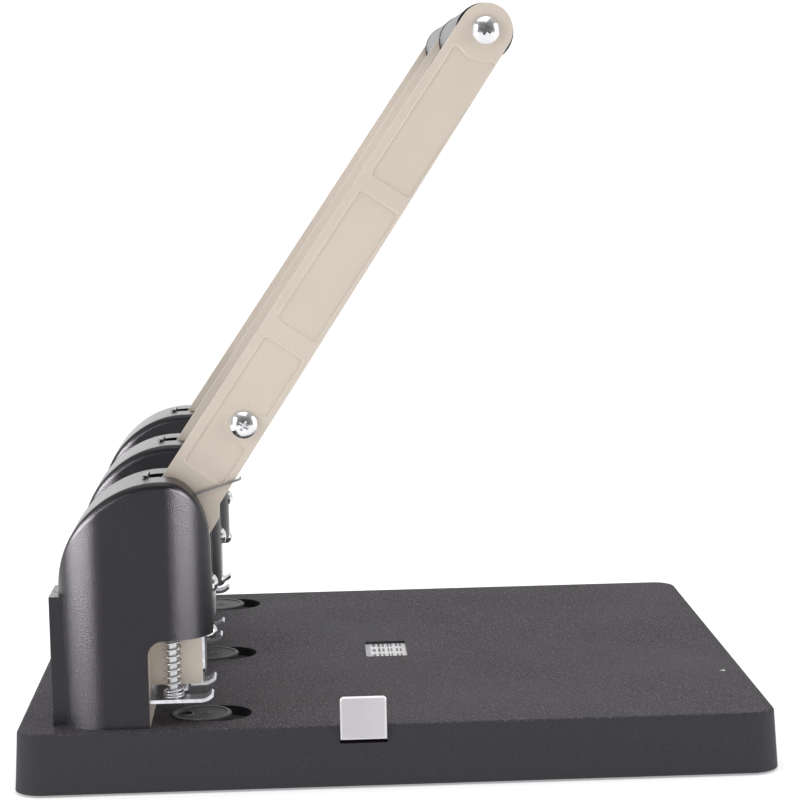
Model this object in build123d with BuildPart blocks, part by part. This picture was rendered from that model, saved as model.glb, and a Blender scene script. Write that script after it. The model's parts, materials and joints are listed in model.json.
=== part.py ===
from build123d import *
from math import asin, cos, radians, sin
import os

# Heavy-duty lever punch that makes three holes in one stroke.
# Millimetres, +Z up, X along the row of heads, -Y towards the operator.
# The origin is on the table, under the middle of the base.

os.makedirs("parts", exist_ok=True)

# ---------------------------------------------------------------- driving dimensions

HEAD_PITCH = 108.0
HEADS = {"left": -HEAD_PITCH, "middle": 0.0, "right": HEAD_PITCH}

BASE_WIDTH = 271.0
BASE_DEPTH = 308.6
BASE_WALL_HEIGHT = 24.4
BASE_CORNER = 12.0
BASE_TAPER = 3.5
BASE_RIM = 4.5
TOP_THICKNESS = 3.0
TOP_EDGE_RADIUS = 1.4
FOOT_HEIGHT = 1.0
BASE_TOP = FOOT_HEIGHT + BASE_WALL_HEIGHT
TOP_UNDERSIDE = BASE_TOP - TOP_THICKNESS

DISC_Y = 79.5
CUTTER_Y = 86.5
PAPER_MARGIN = 12.7
STOP_Y = CUTTER_Y + PAPER_MARGIN
ROD_Y = 89.7
ROD_X = 14.5

SHEET = 1.2
RUNNING_FIT = 0.06
SCREW_RADIUS = 1.5
SCREW_HEAD = 3.0
SCREW_HEAD_HEIGHT = 2.0

# Lever geometry: the arms turn on the pivot pin, and an involute cam on each arm
# presses the cutter head down at a constant rate of one base radius per radian.
PIVOT_Y = 98.5
PIVOT_Z = BASE_TOP + 72.2
PIN_RADIUS = 3.0
ARM_ANGLE = 55.6
ARM_SWING = 43.0
CAM_BASE_RADIUS = 12.0
CAM_REST_ANGLE = 0.55
CAM_GAP = 0.2
PUNCH_TRAVEL = CAM_BASE_RADIUS * radians(ARM_SWING)
CUTTER_HEAD_TOP = PIVOT_Z - CAM_BASE_RADIUS * CAM_REST_ANGLE - CAM_GAP

PAPER_GAP = 9.4
DISC_TOP = BASE_TOP + 0.25
CUTTER_TIP = DISC_TOP + PUNCH_TRAVEL + 0.1


def save(builder, name):
    """Label a finished piece and write its file."""
    builder.part.label = name
    export_step(builder.part, f"parts/{name}.step")


def add_screw(plane, head_radius, head_height, shank_radius, shank_length):
    """Pan-head screw with a cross recess; the head stands out along the plane's normal."""
    axial = Plane(origin=plane.origin, x_dir=plane.x_dir, z_dir=-plane.y_dir)
    rim = 0.35 * head_height
    dome = head_height - rim
    dome_radius = (head_radius ** 2 + dome ** 2) / (2 * dome)
    half_way = asin(head_radius / dome_radius) / 2
    dome_middle = (dome_radius * sin(half_way), head_height - dome_radius * (1 - cos(half_way)))
    with BuildSketch(axial) as profile:
        with BuildLine():
            Polyline((0, head_height), (0, -shank_length), (shank_radius, -shank_length),
                     (shank_radius, 0), (head_radius, 0), (head_radius, rim))
            ThreePointArc((head_radius, rim), dome_middle, (0, head_height))
        make_face()
    revolve(profile.sketch, axis=Axis(plane.origin, plane.z_dir))
    with BuildSketch(plane.offset(head_height)) as cross:
        Rectangle(0.2 * head_radius, 0.8 * head_radius)
        Rectangle(0.8 * head_radius, 0.2 * head_radius)
    extrude(cross.sketch, amount=-0.55 * head_height, mode=Mode.SUBTRACT)


# ---------------------------------------------------------------- base

BOSS_RADIUS = 4.5
BOSS_DEPTH = 9.0
RIB_WIDTH = 2.0
RIB_DEPTH = 9.0
BOTTOM_THICKNESS = 2.0
BOTTOM_CLEARANCE = 0.4
BOTTOM_SCREW_LENGTH = 11.5
BOTTOM_SCREW_HEAD = 3.2
SEAT_RADIUS = 12.7
SEAT_WALL = 2.5
SEAT_DEPTH = 3.9
FINGER_SHIFT = 7.8
WINDOW_WIDTH = 30.0
WINDOW_DEPTH = 18.6
GUIDE_Y = 14.1
GUIDE_TAB_WIDTH = 18.6
GUIDE_BAR_TOP = BASE_TOP - 4.4
GUIDE_BAR_BOTTOM = GUIDE_BAR_TOP - SHEET
GUIDE_INNER_EDGE = -11.0
GUIDE_BAR_END = 112.0
SCALE_Y = -0.2
SCALE_WIDTH = 19.6
SCALE_TOP = BASE_TOP - 1.3
SKIN = 1.0
CHANNEL_REACH = 129.5
WALL_SLOT_HEIGHT = 3.4
MARK_SIDE = 2.8
MARK_DEPTH = 0.4
FRAME_SCREW_X = 14.0
FRAME_SCREW_Y = 118.0
COVER_REAR_Y = DISC_Y + 55.8
REAR_SCREW_Y = COVER_REAR_Y - 0.7
BOTTOM_SCREWS = [(sx * 118, sy) for sx in (-1, 1) for sy in (-136, -40, 136)]
FEET = [(sx * 112, sy * 118) for sx in (-1, 1) for sy in (-1, 1)]
DATUM_MARK = (-61.0, -143.7)
KEEPER_STATIONS = (-90.0, 26.0)
KEEPER_EDGES = (GUIDE_INNER_EDGE - 4.5, GUIDE_Y + GUIDE_TAB_WIDTH / 2 + 4.5)

with BuildPart() as base:
    with BuildSketch(Plane.XY.offset(FOOT_HEIGHT)):
        RectangleRounded(BASE_WIDTH, BASE_DEPTH, BASE_CORNER)
    extrude(amount=BASE_WALL_HEIGHT, taper=BASE_TAPER)
    fillet(base.faces().sort_by(Axis.Z)[-1].edges(), TOP_EDGE_RADIUS)
    with BuildSketch(Plane.XY.offset(FOOT_HEIGHT)):
        RectangleRounded(BASE_WIDTH - 2 * BASE_RIM, BASE_DEPTH - 2 * BASE_RIM, BASE_CORNER - 4)
    extrude(amount=BASE_WALL_HEIGHT - TOP_THICKNESS, mode=Mode.SUBTRACT)
    # Bosses under the top for the disc seats and their finger recesses.
    with BuildSketch(Plane.XY.offset(TOP_UNDERSIDE)):
        for head_x in HEADS.values():
            with Locations((head_x, DISC_Y - FINGER_SHIFT / 2)):
                SlotCenterToCenter(FINGER_SHIFT, 2 * (SEAT_RADIUS + SEAT_WALL), rotation=90)
    extrude(amount=-(SEAT_DEPTH - TOP_THICKNESS + SEAT_WALL))
    # Bosses for the screws that hold the frames and the bottom cover.
    with BuildSketch(Plane.XY.offset(TOP_UNDERSIDE)):
        for head_x in HEADS.values():
            with Locations((head_x - FRAME_SCREW_X, FRAME_SCREW_Y), (head_x + FRAME_SCREW_X, FRAME_SCREW_Y)):
                Circle(BOSS_RADIUS)
    extrude(amount=-BOSS_DEPTH)
    with BuildSketch(Plane.XY.offset(FOOT_HEIGHT + BOTTOM_THICKNESS)):
        with Locations(*BOTTOM_SCREWS):
            Circle(BOSS_RADIUS)
    extrude(until=Until.NEXT)
    # Stiffening ribs under the paper table and between the heads.
    with BuildSketch(Plane.XY.offset(TOP_UNDERSIDE)):
        with Locations((0, -60), (0, -105)):
            Rectangle(BASE_WIDTH - 2 * BASE_RIM, RIB_WIDTH)
        with Locations((-65, -94), (0, -94), (65, -94)):
            Rectangle(RIB_WIDTH, 108)
        with Locations((-HEAD_PITCH / 2, 82), (HEAD_PITCH / 2, 82)):
            Rectangle(RIB_WIDTH, 100)
    extrude(amount=-RIB_DEPTH)
    # Disc seats and finger recesses.
    with BuildSketch(Plane.XY.offset(BASE_TOP)):
        for head_x in HEADS.values():
            with Locations((head_x, DISC_Y - FINGER_SHIFT / 2)):
                SlotCenterToCenter(FINGER_SHIFT, 2 * SEAT_RADIUS, rotation=90)
    extrude(amount=-SEAT_DEPTH, mode=Mode.SUBTRACT)
    # Window over the scale, slot in the side wall for the paper guide, pocket for the mark.
    with BuildSketch(Plane.XY.offset(BASE_TOP)):
        RectangleRounded(WINDOW_WIDTH, WINDOW_DEPTH, 1.2)
    extrude(amount=-TOP_THICKNESS, mode=Mode.SUBTRACT)
    # Channel under the top for the scale, which travels with the paper guide.
    with BuildSketch(Plane.XY.offset(TOP_UNDERSIDE)):
        with Locations(((GUIDE_BAR_END + 1 - CHANNEL_REACH) / 2, SCALE_Y)):
            Rectangle(GUIDE_BAR_END + 1 + CHANNEL_REACH, SCALE_WIDTH + 1)
    extrude(amount=TOP_THICKNESS - SKIN, mode=Mode.SUBTRACT)
    with BuildSketch(Plane.YZ.offset(-BASE_WIDTH / 2)):
        with Locations((GUIDE_Y, GUIDE_BAR_BOTTOM)):
            RectangleRounded(GUIDE_TAB_WIDTH + 0.8, WALL_SLOT_HEIGHT, 0.6)
    extrude(amount=BASE_RIM + 1, mode=Mode.SUBTRACT)
    with BuildSketch(Plane.XY.offset(BASE_TOP)):
        with Locations(DATUM_MARK):
            Triangle(a=MARK_SIDE, b=MARK_SIDE, c=MARK_SIDE)
    extrude(amount=-MARK_DEPTH, mode=Mode.SUBTRACT)
    # Screw holes.
    with BuildSketch(Plane.XY.offset(BASE_TOP)):
        for head_x in HEADS.values():
            with Locations((head_x - FRAME_SCREW_X, FRAME_SCREW_Y), (head_x + FRAME_SCREW_X, FRAME_SCREW_Y)):
                Circle(SCREW_RADIUS)
    extrude(amount=-10, mode=Mode.SUBTRACT)
    with BuildSketch(Plane.XY.offset(BASE_TOP)):
        for head_x in HEADS.values():
            with Locations((head_x, REAR_SCREW_Y)):
                Circle(SCREW_RADIUS)
    extrude(amount=-TOP_THICKNESS, mode=Mode.SUBTRACT)
    with BuildSketch(Plane.XY.offset(FOOT_HEIGHT + BOTTOM_THICKNESS)):
        with Locations(*BOTTOM_SCREWS):
            Circle(SCREW_RADIUS)
    extrude(amount=BOTTOM_SCREW_LENGTH - BOTTOM_THICKNESS + 0.5, mode=Mode.SUBTRACT)
save(base, "base")

with BuildPart() as datum_mark:
    with BuildSketch(Plane.XY.offset(BASE_TOP - MARK_DEPTH)):
        with Locations(DATUM_MARK):
            Triangle(a=MARK_SIDE, b=MARK_SIDE, c=MARK_SIDE)
    extrude(amount=MARK_DEPTH)
save(datum_mark, "datum_mark")

FOOT_STEM_RADIUS = 3.0
FOOT_PAD_RADIUS = 8.0

with BuildPart() as bottom_cover:
    with BuildSketch(Plane.XY.offset(FOOT_HEIGHT)):
        RectangleRounded(BASE_WIDTH - 2 * BASE_RIM - BOTTOM_CLEARANCE,
                         BASE_DEPTH - 2 * BASE_RIM - BOTTOM_CLEARANCE, BASE_CORNER - 4.2)
        with Locations(*FEET):
            Circle(FOOT_STEM_RADIUS, mode=Mode.SUBTRACT)
    extrude(amount=BOTTOM_THICKNESS)
    with Locations(Plane.XY.offset(FOOT_HEIGHT)):
        with Locations(*[Location((x, y, 0), (180, 0, 0)) for x, y in BOTTOM_SCREWS]):
            CounterSinkHole(SCREW_RADIUS, BOTTOM_SCREW_HEAD, depth=BOTTOM_THICKNESS)
save(bottom_cover, "bottom_cover")

with BuildPart() as bottom_screws:
    for x, y in BOTTOM_SCREWS:
        axial = Plane(origin=(x, y, FOOT_HEIGHT), x_dir=(1, 0, 0), z_dir=(0, -1, 0))
        with BuildSketch(axial):
            Polygon((0, 0), (BOTTOM_SCREW_HEAD, 0), (SCREW_RADIUS, 1.7),
                    (SCREW_RADIUS, BOTTOM_SCREW_LENGTH), (0, BOTTOM_SCREW_LENGTH), align=None)
        revolve(axis=Axis((x, y, 0), (0, 0, 1)))
        with BuildSketch(Plane.XY.offset(FOOT_HEIGHT)):
            with Locations((x, y)):
                Rectangle(3.4, 0.8)
                Rectangle(0.8, 3.4)
        extrude(amount=1.0, mode=Mode.SUBTRACT)
save(bottom_screws, "bottom_screws")

with BuildPart() as rubber_feet:
    for x, y in FEET:
        with BuildSketch(Plane.XY):
            with Locations((x, y)):
                Circle(FOOT_PAD_RADIUS)
        extrude(amount=FOOT_HEIGHT)
        with BuildSketch(Plane.XY.offset(FOOT_HEIGHT)):
            with Locations((x, y)):
                Circle(FOOT_STEM_RADIUS)
        extrude(amount=BOTTOM_THICKNESS)
        with BuildSketch(Plane.XY.offset(FOOT_HEIGHT + BOTTOM_THICKNESS)):
            with Locations((x, y)):
                Circle(FOOT_STEM_RADIUS + 1)
        extrude(amount=1.2)
save(rubber_feet, "rubber_feet")

# ---------------------------------------------------------------- side paper guide

GUIDE_TAB_TOP = BASE_TOP + 11.9
GUIDE_TAB_X = -(BASE_WIDTH / 2 - 1.1)
GUIDE_TAB_THICKNESS = 1.1
GUIDE_NECK_END = -50.0
GUIDE_OUTER_EDGE = GUIDE_Y + GUIDE_TAB_WIDTH / 2

with BuildPart() as side_guide:
    # Flat bar: a narrow neck that passes through the wall and a wide part under the window.
    with BuildSketch(Plane.XY.offset(GUIDE_BAR_BOTTOM)):
        Polygon((GUIDE_TAB_X - GUIDE_TAB_THICKNESS, GUIDE_OUTER_EDGE),
                (GUIDE_BAR_END, GUIDE_OUTER_EDGE), (GUIDE_BAR_END, GUIDE_INNER_EDGE),
                (GUIDE_NECK_END, GUIDE_INNER_EDGE),
                (GUIDE_NECK_END, GUIDE_OUTER_EDGE - GUIDE_TAB_WIDTH),
                (GUIDE_TAB_X - GUIDE_TAB_THICKNESS, GUIDE_OUTER_EDGE - GUIDE_TAB_WIDTH), align=None)
    extrude(amount=SHEET)
    # Upright tab that the edge of the paper rests against.
    with BuildSketch(Plane.YZ.offset(GUIDE_TAB_X - GUIDE_TAB_THICKNESS)):
        with Locations((GUIDE_Y, (GUIDE_TAB_TOP + GUIDE_BAR_BOTTOM) / 2)):
            Rectangle(GUIDE_TAB_WIDTH, GUIDE_TAB_TOP - GUIDE_BAR_BOTTOM)
    extrude(amount=GUIDE_TAB_THICKNESS)
    fillet(side_guide.edges().filter_by(Axis.X).group_by(Axis.Z)[-1], 1.5)
    chamfer(side_guide.faces().sort_by(Axis.X)[0].edges(), 0.3)
save(side_guide, "side_guide")

with BuildPart() as scale_label:
    with BuildSketch(Plane.XY.offset(GUIDE_BAR_TOP)):
        with Locations(((GUIDE_NECK_END + GUIDE_BAR_END) / 2, SCALE_Y)):
            Rectangle(GUIDE_BAR_END - GUIDE_NECK_END - 4, SCALE_WIDTH)
    extrude(amount=SCALE_TOP - GUIDE_BAR_TOP)
save(scale_label, "scale_label")

KEEPER_WIDTH = 9.0
KEEPER_FOOT = 7.0
KEEPER_GAP = 0.3
KEEPER_SCREW_RADIUS = 1.2
KEEPER_FACE = GUIDE_BAR_BOTTOM - KEEPER_GAP - SHEET

with BuildPart() as guide_keepers:
    for x in KEEPER_STATIONS:
        # Strap below the bar with a foot on each side that reaches the top's underside.
        with BuildSketch(Plane.XY.offset(GUIDE_BAR_BOTTOM - KEEPER_GAP)):
            with Locations((x, sum(KEEPER_EDGES) / 2)):
                Rectangle(KEEPER_WIDTH, KEEPER_EDGES[1] - KEEPER_EDGES[0] + KEEPER_FOOT)
        extrude(amount=-SHEET)
        with BuildSketch(Plane.XY.offset(TOP_UNDERSIDE)):
            for y in KEEPER_EDGES:
                with Locations((x, y)):
                    Rectangle(KEEPER_WIDTH, KEEPER_FOOT)
        extrude(amount=-(TOP_UNDERSIDE - GUIDE_BAR_BOTTOM + KEEPER_GAP))
        with BuildSketch(Plane.XY.offset(TOP_UNDERSIDE)):
            with Locations(*[(x, y) for y in KEEPER_EDGES]):
                Circle(KEEPER_SCREW_RADIUS)
        extrude(amount=KEEPER_FACE - TOP_UNDERSIDE, mode=Mode.SUBTRACT)
save(guide_keepers, "guide_keepers")

with BuildPart() as keeper_screws:
    for x in KEEPER_STATIONS:
        for y in KEEPER_EDGES:
            down = Plane(origin=(x, y, KEEPER_FACE), x_dir=(1, 0, 0), z_dir=(0, 0, -1))
            add_screw(down, 2.4, 1.8, KEEPER_SCREW_RADIUS, TOP_UNDERSIDE - KEEPER_FACE)
save(keeper_screws, "keeper_screws")

# ---------------------------------------------------------------- punching heads

FRAME_HALF = 18.8
FOOT_DEPTH = 22.0
STOP_HEIGHT = 52.0
EAR_DEPTH = 9.0
CHEEK_OUTER = 9.5
CHEEK_INNER = CHEEK_OUTER - SHEET
CHEEK_FRONT_Y = DISC_Y - 1.4
CHEEK_BOTTOM = BASE_TOP + 15.0
CROSSHEAD_TOP = BASE_TOP + 57.5
CROSSHEAD_THICKNESS = 6.0
CROSSHEAD_BOTTOM = CROSSHEAD_TOP - CROSSHEAD_THICKNESS
CROSSHEAD_FRONT_Y = CUTTER_Y - 5.0
CROSSHEAD_REAR_Y = ROD_Y + 4.8
CROSSHEAD_HALF = 17.8
CROSSHEAD_CORNER = 6.3
EAR_BOTTOM = CROSSHEAD_TOP + 0.8
EAR_END = 18.0
ROD_RADIUS = 2.25
PLATE_BOTTOM = BASE_TOP + PAPER_GAP
PLATE_THICKNESS = 1.4
PLATE_HALF = 18.8
FORK_WIDTH = 20.0
WEB_DEPTH = 6.0
TAB_WIDTH = 12.0
TAB_HEIGHT = 5.6
PLATE_TOP = PLATE_BOTTOM + PLATE_THICKNESS
STRAP_TOP = BASE_TOP + 56.8
STRAP_BOTTOM = BASE_TOP + 18.7
STRAP_THICKNESS = 1.0
STRAP_HALF = 8.9
STRAP_FRONT_Y = CHEEK_FRONT_Y - STRAP_THICKNESS
COVER_SCREW_Z = BASE_TOP + 54.2
STRAP_SCREW_Z = BASE_TOP + 34.3
STRAP_SCREW_HEAD = 3.2
CUTTER_RADIUS = 3.0
GUIDE_BLOCK_TOP = BASE_TOP + 29.0

COVER_HALF = 21.6
COVER_WALL = 2.5
COVER_CORNER = 19.0
COVER_EDGE_RADIUS = 3.0
PLAN_MARGIN = 0.35
COVER_HEIGHT = 99.0
COVER_FRONT_Y = DISC_Y - 6.0
COVER_BACK_SHOULDER = 53.0
COVER_FRONT_SHOULDER = 70.0
COVER_BACK_REACH = 42.5
COVER_FRONT_REACH = 17.0
BLOCK_WIDTH = 25.0
BLOCK_DEPTH = 8.0
BLOCK_HEIGHT = 52.6
NOTCH_HEIGHT = 35.2
NOTCH_RADIUS = 6.0
SLOT_HALF = 5.0
SLOT_REAR_Y = DISC_Y + 18.5
SLOT_FLOOR_HEIGHT = 58.0
SLOT_FLOOR = BASE_TOP + SLOT_FLOOR_HEIGHT
LIP_DEPTH = 3.2
LIP_HEIGHT = 0.6
SEAM_WIDTH = 0.8
SEAM_DEPTH = 1.0


def cover_face(inset):
    """Side outline of the hood, moved inwards by the inset, in the current sketch."""
    rear = COVER_REAR_Y - inset
    front = COVER_FRONT_Y + inset
    roof = BASE_TOP + COVER_HEIGHT - inset
    back_middle = (COVER_REAR_Y - COVER_BACK_REACH, BASE_TOP + COVER_BACK_SHOULDER)
    front_middle = (COVER_FRONT_Y + COVER_FRONT_REACH, BASE_TOP + COVER_FRONT_SHOULDER)
    with BuildLine() as outline:
        Line((front, BASE_TOP), (rear, BASE_TOP))
        Line((rear, BASE_TOP), (rear, back_middle[1]))
        EllipticalCenterArc(back_middle, COVER_BACK_REACH - inset, roof - back_middle[1], 0, arc_size=90)
        Line((back_middle[0], roof), (front_middle[0], roof))
        EllipticalCenterArc(front_middle, COVER_FRONT_REACH - inset, roof - front_middle[1], 90, arc_size=90)
        Line((front, front_middle[1]), (front, BASE_TOP))
    return make_face(outline.edges())


def hood_body(head_x, inset):
    """Side outline crossed with a well rounded plan: the hood's outside, or its hollow."""
    with BuildPart() as hood:
        with BuildSketch(Plane.YZ.offset(head_x - COVER_HALF - 1)):
            cover_face(inset)
        extrude(amount=2 * COVER_HALF + 2)
        with BuildSketch(Plane.XY.offset(BASE_TOP)):
            with Locations((head_x, (COVER_REAR_Y + COVER_FRONT_Y) / 2)):
                RectangleRounded(2 * (COVER_HALF - inset),
                                 COVER_REAR_Y - COVER_FRONT_Y + 2 * (PLAN_MARGIN - inset),
                                 COVER_CORNER - inset)
        extrude(amount=COVER_HEIGHT, mode=Mode.INTERSECT)
        if inset == 0:
            roof_edges = hood.edges().filter_by(Axis.Y).group_by(Axis.Z)[-1].sort_by(Axis.X)
            fillet([roof_edges[0], roof_edges[-1]], COVER_EDGE_RADIUS)
    return hood.part


def make_cover(name, head_x):
    """Moulded hood over one head, open below and slotted for the arm."""
    outside = hood_body(head_x, 0)
    hollow = hood_body(head_x, COVER_WALL)
    notch_top = BASE_TOP + NOTCH_HEIGHT
    with BuildPart() as cover:
        add(outside)
        add(hollow, mode=Mode.SUBTRACT)
        # Paper notch through both sides and the front.
        with BuildSketch(Plane.YZ.offset(head_x)):
            with BuildLine():
                Polyline((STOP_Y, BASE_TOP), (STOP_Y, notch_top - NOTCH_RADIUS))
                RadiusArc((STOP_Y, notch_top - NOTCH_RADIUS), (STOP_Y - NOTCH_RADIUS, notch_top),
                          -NOTCH_RADIUS)
                Polyline((STOP_Y - NOTCH_RADIUS, notch_top), (COVER_FRONT_Y - 2, notch_top),
                         (COVER_FRONT_Y - 2, BASE_TOP), (STOP_Y, BASE_TOP))
            make_face()
        extrude(amount=COVER_HALF + 1, both=True, mode=Mode.SUBTRACT)
        # Rear key block, with its screw hole.
        with BuildSketch(Plane.XY.offset(BASE_TOP)):
            with Locations((head_x, REAR_SCREW_Y)):
                Rectangle(BLOCK_WIDTH, BLOCK_DEPTH)
        extrude(amount=BLOCK_HEIGHT)
        with BuildSketch(Plane.XY.offset(BASE_TOP)):
            with Locations((head_x, REAR_SCREW_Y)):
                Circle(SCREW_RADIUS)
        extrude(amount=12, mode=Mode.SUBTRACT)
        # Raised lip behind the arm slot, then the slot itself over the top and down the front.
        with BuildSketch(Plane.XY.offset(BASE_TOP + COVER_HEIGHT - COVER_WALL / 2)):
            with Locations((head_x, SLOT_REAR_Y + 0.8)):
                RectangleRounded(2 * SLOT_HALF, LIP_DEPTH, 0.8)
        extrude(amount=COVER_WALL / 2 + LIP_HEIGHT)
        with BuildSketch(Plane.XY.offset(SLOT_FLOOR)):
            with Locations((head_x, (SLOT_REAR_Y + COVER_FRONT_Y - 4) / 2)):
                RectangleRounded(2 * SLOT_HALF, SLOT_REAR_Y - COVER_FRONT_Y + 4, 0.6)
        extrude(amount=COVER_HEIGHT, mode=Mode.SUBTRACT)
        # Narrow seam below the slot, hole for the cover screw, gap round the strap screw.
        with BuildSketch(Plane.XZ.offset(-COVER_FRONT_Y)):
            with Locations((head_x, BASE_TOP + (NOTCH_HEIGHT + SLOT_FLOOR_HEIGHT) / 2)):
                Rectangle(SEAM_WIDTH, SLOT_FLOOR_HEIGHT - NOTCH_HEIGHT)
        extrude(amount=-SEAM_DEPTH, mode=Mode.SUBTRACT)
        with BuildSketch(Plane.XZ.offset(-COVER_FRONT_Y)):
            with Locations((head_x, COVER_SCREW_Z)):
                Circle(1.6)
            with Locations((head_x, STRAP_SCREW_Z)):
                Circle(STRAP_SCREW_HEAD + 0.5)
        extrude(amount=-COVER_WALL - 0.2, mode=Mode.SUBTRACT)
    save(cover, name)


def make_frame(name, head_x):
    """Pressed steel frame: paper stop, foot, two cheeks and the ears for the guide rods."""
    with BuildPart() as frame:
        with BuildSketch(Plane.XZ.offset(-STOP_Y)):
            with Locations((head_x, BASE_TOP + STOP_HEIGHT / 2)):
                Rectangle(2 * FRAME_HALF, STOP_HEIGHT)
        extrude(amount=-SHEET)
        with BuildSketch(Plane.XY.offset(BASE_TOP)):
            with Locations((head_x, STOP_Y + FOOT_DEPTH / 2)):
                Rectangle(2 * FRAME_HALF, FOOT_DEPTH)
            with Locations((head_x - FRAME_SCREW_X, FRAME_SCREW_Y), (head_x + FRAME_SCREW_X, FRAME_SCREW_Y)):
                Circle(1.7, mode=Mode.SUBTRACT)
        extrude(amount=SHEET)
        chamfer(frame.edges().filter_by(Axis.Z).group_by(Axis.Y)[-1], 2.5)
        # Cheeks carry the pivot pin at their rear top corner.
        for side in (-1, 1):
            with BuildSketch(Plane.YZ.offset(head_x + side * (CHEEK_INNER + CHEEK_OUTER) / 2)):
                Polygon((STOP_Y + SHEET, CHEEK_BOTTOM), (CHEEK_FRONT_Y + 1.2, CHEEK_BOTTOM),
                        (CHEEK_FRONT_Y, CHEEK_BOTTOM + 1.2), (CHEEK_FRONT_Y, BASE_TOP + 66),
                        (PIVOT_Y - 7, PIVOT_Z + 9),
                        (PIVOT_Y + 7, PIVOT_Z + 9), (PIVOT_Y + 9, PIVOT_Z + 5),
                        (PIVOT_Y + 9, PIVOT_Z - 8), (STOP_Y + SHEET, BASE_TOP + 54), align=None)
                with Locations((PIVOT_Y, PIVOT_Z)):
                    Circle(PIN_RADIUS, mode=Mode.SUBTRACT)
                with Locations(((CROSSHEAD_FRONT_Y + CROSSHEAD_REAR_Y) / 2,
                                (EAR_BOTTOM + CROSSHEAD_BOTTOM - PUNCH_TRAVEL - 1) / 2)):
                    Rectangle(CROSSHEAD_REAR_Y - CROSSHEAD_FRONT_Y + 1.6,
                              EAR_BOTTOM - CROSSHEAD_BOTTOM + PUNCH_TRAVEL + 1, mode=Mode.SUBTRACT)
            extrude(amount=SHEET / 2, both=True)
            # Ear lanced out of the cheek above the crosshead.
            with BuildSketch(Plane.XY.offset(EAR_BOTTOM)):
                with Locations((head_x + side * (CHEEK_INNER + EAR_END) / 2, ROD_Y)):
                    RectangleRounded(EAR_END - CHEEK_INNER, EAR_DEPTH, 3)
                with Locations((head_x + side * ROD_X, ROD_Y)):
                    Circle(ROD_RADIUS, mode=Mode.SUBTRACT)
            extrude(amount=SHEET)
    save(frame, name)


def make_front_strap(name, head_x):
    """Zinc strap that closes the front of the cheeks and takes the cover screws."""
    with BuildPart() as strap:
        with BuildSketch(Plane.XZ.offset(-CHEEK_FRONT_Y)):
            with Locations((head_x, (STRAP_TOP + STRAP_BOTTOM) / 2)):
                Rectangle(2 * STRAP_HALF, STRAP_TOP - STRAP_BOTTOM)
        extrude(amount=STRAP_THICKNESS)
        chamfer(strap.edges().filter_by(Axis.Y).group_by(Axis.Z)[0], 2.2)
        with BuildSketch(Plane.XZ.offset(-CHEEK_FRONT_Y)):
            with Locations((head_x, COVER_SCREW_Z), (head_x, STRAP_SCREW_Z)):
                Circle(SCREW_RADIUS)
        extrude(amount=STRAP_THICKNESS, mode=Mode.SUBTRACT)
    save(strap, name)


def make_stripper_plate(name, head_x):
    """Forked plate that holds the paper down; its prongs curl up at the front."""
    bend_y = DISC_Y - 0.6
    bend_radius = 6.5
    bend_angle = 50
    middle = PLATE_BOTTOM + PLATE_THICKNESS / 2
    with BuildPart() as plate:
        with BuildSketch(Plane.YZ.offset(head_x)):
            with BuildLine():
                Line((STOP_Y, middle), (bend_y, middle))
                CenterArc((bend_y, middle + bend_radius), bend_radius, 270, -bend_angle)
            trace(line_width=PLATE_THICKNESS)
        extrude(amount=PLATE_HALF, both=True)
        # Tab that fixes the plate to the paper stop.
        with BuildSketch(Plane.XY.offset(PLATE_BOTTOM)):
            with Locations((head_x, STOP_Y - PLATE_THICKNESS / 2)):
                Rectangle(TAB_WIDTH, PLATE_THICKNESS)
        extrude(amount=TAB_HEIGHT)
        # Slot of the fork, open to the front.
        with BuildSketch(Plane.XY.offset(PLATE_BOTTOM - 1)):
            with Locations((head_x, STOP_Y - WEB_DEPTH - 20)):
                RectangleRounded(FORK_WIDTH, 40, 3)
        extrude(amount=12, mode=Mode.SUBTRACT)
        with BuildSketch(Plane.XY.offset(PLATE_BOTTOM - 1)):
            with Locations((head_x - ROD_X, ROD_Y), (head_x + ROD_X, ROD_Y)):
                Circle(ROD_RADIUS)
        extrude(amount=4, mode=Mode.SUBTRACT)
        split(bisect_by=Plane.XZ.offset(-STOP_Y), keep=Keep.TOP)
        fillet(plate.edges().filter_by(Axis.X).group_by(Axis.Y)[0], 0.5)
    save(plate, name)


def make_guide_rods(name, head_x):
    """Two ground rods between the stripper plate and the frame's ears."""
    with BuildPart() as rods:
        with BuildSketch(Plane.XY.offset(PLATE_BOTTOM)):
            with Locations((head_x - ROD_X, ROD_Y), (head_x + ROD_X, ROD_Y)):
                Circle(ROD_RADIUS)
        extrude(amount=EAR_BOTTOM + SHEET + 0.8 - PLATE_BOTTOM)
    save(rods, name)


SPRING_MEAN_RADIUS = 3.6
SPRING_WIRE_RADIUS = 0.34
SPRING_TURNS = 15


def make_return_springs(name, head_x):
    """Two compression springs that lift the crosshead after each stroke."""
    bottom = PLATE_TOP + SPRING_WIRE_RADIUS + 0.05
    top = CROSSHEAD_BOTTOM - SPRING_WIRE_RADIUS - 0.05
    with BuildPart() as springs:
        for side in (-1, 1):
            with BuildLine() as coil:
                Helix(pitch=(top - bottom) / SPRING_TURNS, height=top - bottom, radius=SPRING_MEAN_RADIUS,
                      center=(head_x + side * ROD_X, ROD_Y, bottom))
            with BuildSketch(Plane(origin=coil.line @ 0, z_dir=coil.line % 0)):
                Circle(SPRING_WIRE_RADIUS)
            sweep(path=coil.line, is_frenet=True)
    save(springs, name)


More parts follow.
